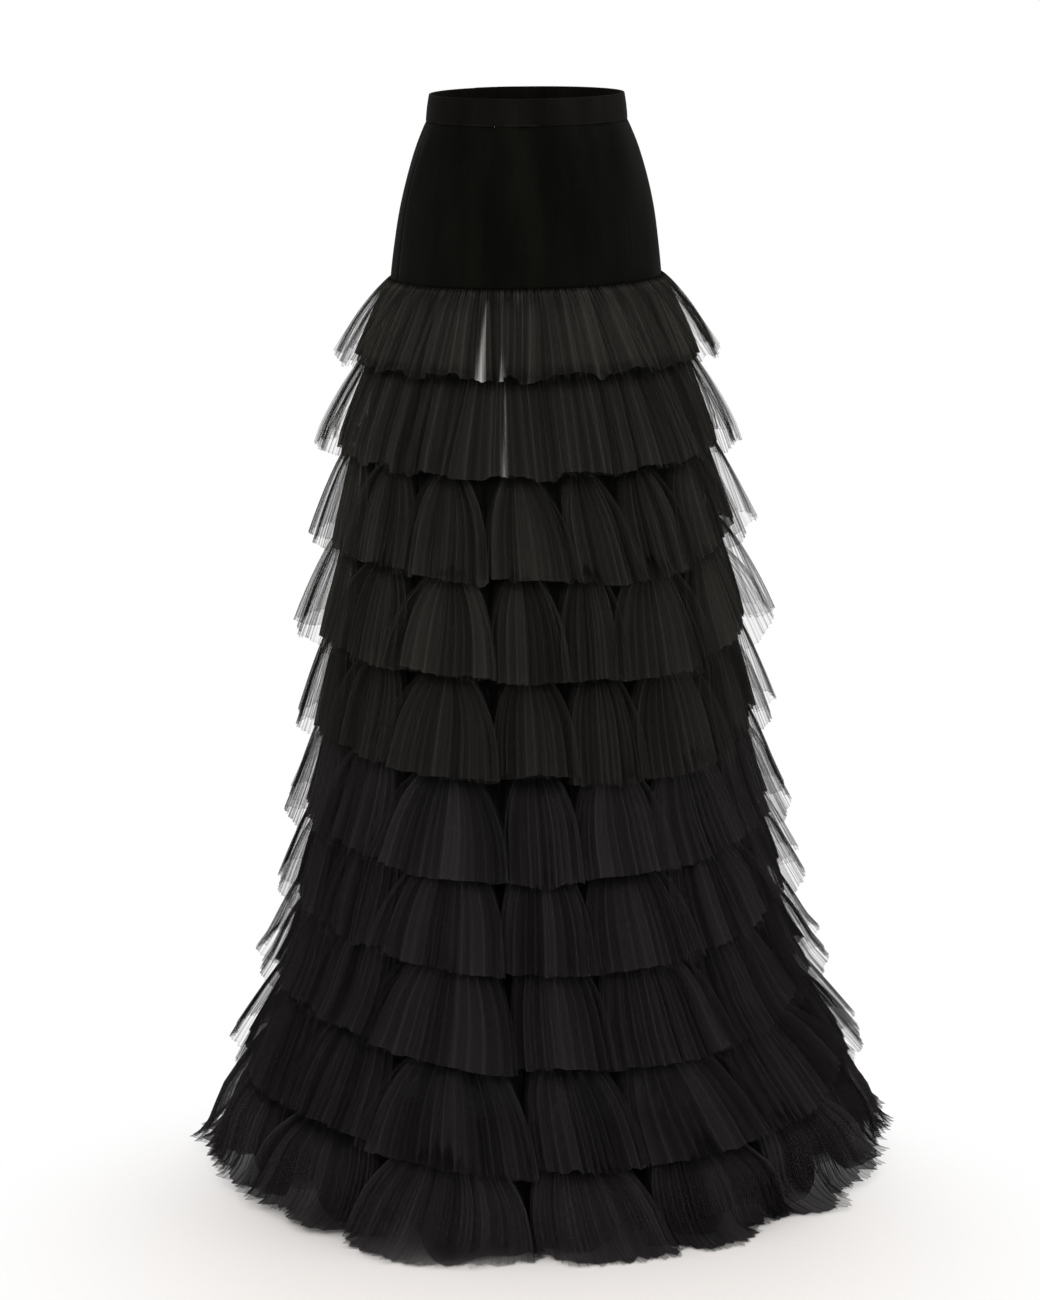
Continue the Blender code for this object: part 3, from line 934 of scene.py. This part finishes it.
# Share up each ruffle where the hem above it ends; the finish darkens the ruffle above this share with
# painted shade, and a little below it with a painted shadow of that hem
COVERED = (0.96, 0.66, 0.69, 0.67, 0.66, 0.64, 0.60, 0.63, 0.63, 0.60)
ruffles = []
under_ruffles = []
for number, row in enumerate(RUFFLES):
    coolness = min(max((number - LAST_WARM) / COOLING, 0.0), 1.0)
    tint = tuple(mix(WARM_BLACK, COOL_BLACK, coolness) * BRIGHT[number] * TULLE_LIGHT)
    last = number == len(RUFFLES) - 1
    # Painted shade on the first ruffle's hem
    painted_hem_shade = 0.55 if number == 0 else 0.0
    tulle = pleated_tulle(
        f"pleated_tulle_{number + 1:02d}",
        row[-1],
        tint,
        sheer=0.36 if last else 0.10,
        folds=0.38,
        covered=COVERED[number],
        painted_hem_shade=painted_hem_shade,
        parts=number < EVEN_RUFFLES,
    )
    ruffles.append(pleated_layer(number, OUTER_LAYER, tulle))
    under_pleats = round(row[-1] * UNDER_LAYER[2])
    tulle = pleated_tulle(
        f"under_tulle_{number + 1:02d}",
        under_pleats,
        tint,
        sheer=0.80,
        folds=0.18,
        covered=COVERED[number],
        painted_hem_shade=painted_hem_shade,
    )
    under_ruffles.append(pleated_layer(number, UNDER_LAYER, tulle))

# Length of each ruffle's two layers and the under layer's pleats, worked out but not used
for number, (piece, under, row) in enumerate(zip(ruffles, under_ruffles, RUFFLES)):
    length = row[0] - row[1] + (FIRST_RUFFLE_DROP if number == 0 else 0.0)
    under_length = length * (1.0 + UNDER_LAYER[4] + UNDER_LAYER[5] * number)
    under_pleats = round(row[-1] * UNDER_LAYER[2])

# Plain pale floor, a little darker in front of the skirt, that fades into the white of the studio
DARKER_PLACE = (0.117, 0.276, 0.0)
FLOOR_COLOUR = (0.884, 0.845, 0.818)
ground = bpy.data.meshes.new("studio_floor")
mesh = bmesh.new()
bmesh.ops.create_circle(mesh, cap_ends=True, segments=96, radius=9.0)
bmesh.ops.translate(mesh, verts=mesh.verts[:], vec=(0.0, 0.0, cad_box[0][2] - 0.0002))
mesh.to_mesh(ground)
mesh.free()
floor = bpy.data.objects.new("studio_floor", ground)
bpy.context.collection.objects.link(floor)
pale = Finish("studio_floor", 0.9, 0.1)
flat_place = pale.place((1.0, 1.0, 0.0))
spot = pale.node("ShaderNodeVectorMath", {"operation": "ADD"}, {0: flat_place, 1: DARKER_PLACE})
where = pale.node("ShaderNodeVectorMath", {"operation": "LENGTH"}, {0: spot.outputs[0]})
where = Strand(pale, where.outputs["Value"])
away = pale.node("ShaderNodeEmission", None, {"Color": (1.0, 1.0, 1.0), "Strength": 1.0})
faded = pale.node(
    "ShaderNodeMixShader",
    None,
    {0: where.between(0.22, 0.62), 1: pale.shader.outputs[0], 2: away.outputs[0]},
)
pale.set("Base Color", FLOOR_COLOUR)
output = next(node for node in pale.nodes if node.type == "OUTPUT_MATERIAL")
pale.links.new(faded.outputs[0], output.inputs["Surface"])
ground.materials.append(pale.material)

world = bpy.data.worlds.new("studio")
world.use_nodes = True
sky = world.node_tree.nodes
upwards = sky.new("ShaderNodeSeparateXYZ")
shading = sky.new("ShaderNodeMapRange")
shading.inputs["From Min"].default_value = -1.0
shading.inputs["From Max"].default_value = 1.0
shading.inputs["To Min"].default_value = 0.96
shading.inputs["To Max"].default_value = 1.05
world.node_tree.links.new(sky.new("ShaderNodeTexCoord").outputs["Generated"], upwards.inputs[0])
world.node_tree.links.new(upwards.outputs["Z"], shading.inputs["Value"])
world.node_tree.links.new(shading.outputs[0], sky["Background"].inputs["Color"])
bpy.context.scene.world = world


MIDDLE = (0.0, 0.0, -0.5)


def softbox(name, place, size, power):
    """Large soft lamp that looks at the middle of the skirt."""
    lamp = bpy.data.lights.new(name, "AREA")
    lamp.shape = "DISK"
    lamp.size = size
    lamp.energy = power
    made = bpy.data.objects.new(name, lamp)
    made.location = place
    ahead = Vector(MIDDLE) - Vector(place)
    made.rotation_euler = ahead.to_track_quat("-Z", "Y").to_euler()
    bpy.context.collection.objects.link(made)


softbox("key", (-2.6, -2.6, 1.6), 1.6, 22.0)
softbox("fill", (2.8, -1.8, 1.0), 1.8, 14.0)

AZIMUTH = math.radians(-23.0)
PITCH = math.radians(12.15)
CAMERA_AWAY = 4.33
CAMERA_ASIDE = 0.00725
CAMERA_HEIGHT = 0.356
lens = bpy.data.cameras.new("camera")
lens.lens = 115.2
lens.sensor_width = 36.0
camera = bpy.data.objects.new("camera", lens)
back = Vector((math.sin(AZIMUTH), -math.cos(AZIMUTH), 0.0))
right = Vector((math.cos(AZIMUTH), math.sin(AZIMUTH), 0.0))
camera.location = back * CAMERA_AWAY - right * CAMERA_ASIDE + Vector((0.0, 0.0, CAMERA_HEIGHT))
looking = -back * math.cos(PITCH) - Vector((0.0, 0.0, math.sin(PITCH)))
camera.rotation_euler = looking.to_track_quat("-Z", "Y").to_euler()
bpy.context.collection.objects.link(camera)
bpy.context.scene.camera = camera
bpy.context.scene.view_settings.view_transform = "Standard"
bpy.context.scene.cycles.transparent_max_bounces = 16
bpy.context.scene.cycles.diffuse_bounces = 1
